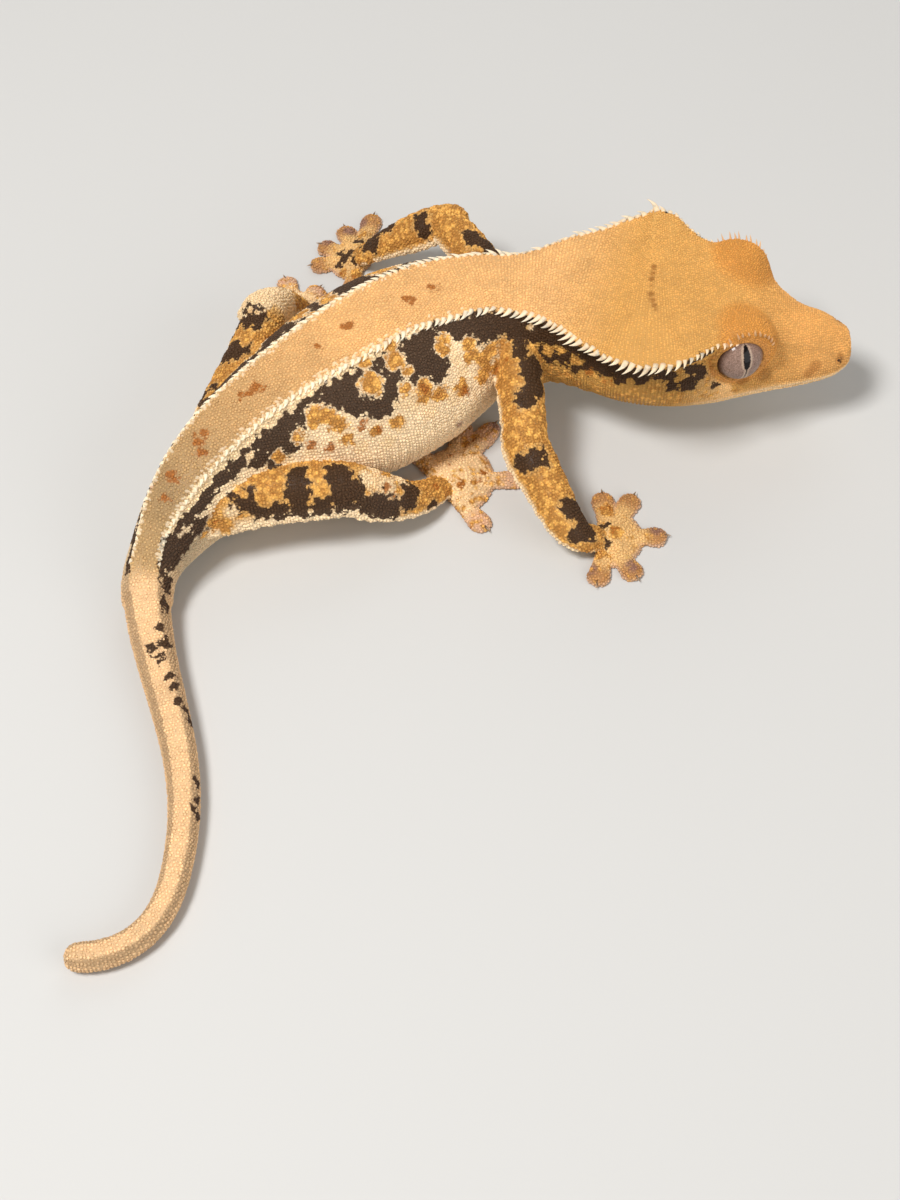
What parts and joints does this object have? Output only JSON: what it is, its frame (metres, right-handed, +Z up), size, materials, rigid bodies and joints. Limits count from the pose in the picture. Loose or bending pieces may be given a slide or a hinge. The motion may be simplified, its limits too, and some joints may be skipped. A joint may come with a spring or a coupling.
{
  "type": "crested gecko model",
  "caption": "Still, life-size crested gecko with raised spiny head crests, body curved to one side, webbed padded toes and tail laid on the floor.",
  "frame": {"origin": "centre of the whole animal's box in plan, on the floor it rests on", "axes": "+X along the head, from crest to snout; +Y to the animal's left, square to the head; +Z up"},
  "size_m": [0.0958, 0.1206, 0.0244],
  "materials": {
    "skin": "satin, finely granular",
    "eye": "glossy"
  },
  "bodies": {
    "root": {"head": "skin", "neck": "skin", "torso_front": "skin", "torso_rear": "skin", "tail_base": "skin", "tail_middle": "skin", "tail_tip": "skin", "upper_arm_left": "skin", "upper_arm_right": "skin", "forearm_left": "skin", "forearm_right": "skin", "hand_left": "skin", "hand_right": "skin", "thigh_left": "skin", "thigh_right": "skin", "shin_left": "skin", "shin_right": "skin", "foot_left": "skin", "foot_right": "skin", "eye_left": "eye", "eye_right": "eye"}
  },
  "joints": []
}
